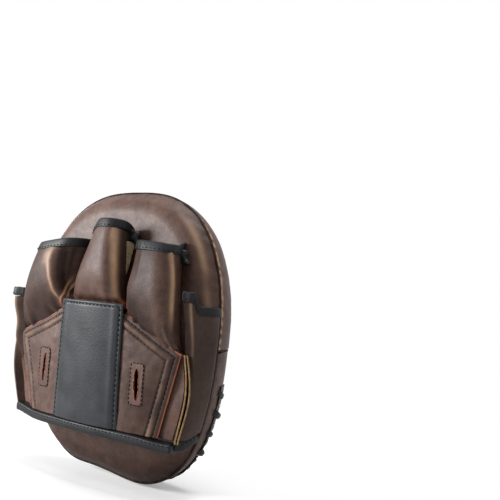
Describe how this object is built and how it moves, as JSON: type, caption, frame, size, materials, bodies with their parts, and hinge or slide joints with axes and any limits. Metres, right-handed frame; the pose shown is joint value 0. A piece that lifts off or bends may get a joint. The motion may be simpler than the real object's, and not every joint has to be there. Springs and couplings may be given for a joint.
{
  "type": "focus mitt",
  "caption": "Curved padded leather focus mitt with a laced striking pad and an open hand glove with bound finger stalls on its back.",
  "frame": {"origin": "on the pad's back face, in the middle of the hand pocket, where the palm rests", "axes": "+Z towards the finger end, +Y towards the striking face, +X to the right seen from the glove side"},
  "size_m": [0.2208, 0.0918, 0.2588],
  "materials": {
    "brown_leather": "distressed waxed pull-up leather",
    "dark_brown_leather": "the same leather, less worn",
    "black_leather": "smooth semi-matt",
    "raw_edge": "raw cut edge",
    "lining": "woven",
    "foam": "closed-cell foam",
    "board": "matt",
    "rivet": "satin"
  },
  "bodies": {
    "mitt": {"foam_core": "foam", "strike_foam": "foam", "back_board": "board", "back_panel": "brown_leather", "face_panel": "brown_leather", "top_gusset": "brown_leather", "lacing_gusset": "black_leather", "lace": "black_leather", "lace_rivets": "rivet", "back_seam_welt": "raw_edge", "face_seam_welt": "raw_edge", "palm_lining": "lining", "left_wall": "brown_leather", "right_wall": "brown_leather", "left_wall_binding": "black_leather", "right_wall_binding": "black_leather", "left_wall_hem": "black_leather", "right_wall_hem": "black_leather", "left_flange": "raw_edge", "right_flange": "raw_edge", "cover_body": "dark_brown_leather", "cover_padding": "foam", "hand_cover": "brown_leather", "left_slot_facing": "dark_brown_leather", "right_slot_facing": "dark_brown_leather", "centre_band": "black_leather", "hem_binding": "black_leather"},
    "centre_finger_stall": {"centre_stall": "brown_leather", "centre_stall_binding": "black_leather"},
    "left_finger_stall": {"left_stall": "brown_leather", "left_stall_binding": "black_leather"},
    "right_finger_stall": {"right_stall": "brown_leather", "right_stall_binding": "black_leather"}
  },
  "joints": [
    {"name": "centre_stall_flex", "type": "hinge", "parent": "mitt", "child": "centre_finger_stall", "pos_m": [0, -0.024, 0.02535], "axis": [1, 0, 0], "range_deg": [0, 25], "stiffness_Nm_per_rad": 0.4},
    {"name": "left_stall_flex", "type": "hinge", "parent": "mitt", "child": "left_finger_stall", "pos_m": [-0.066, -0.019, 0.0039], "axis": [0.8881, -0.1184, 0.4441], "range_deg": [0, 20], "stiffness_Nm_per_rad": 0.4},
    {"name": "right_stall_flex", "type": "hinge", "parent": "mitt", "child": "right_finger_stall", "pos_m": [0.066, -0.019, 0.0039], "axis": [0.8881, 0.1184, -0.4441], "range_deg": [0, 20], "stiffness_Nm_per_rad": 0.4}
  ]
}
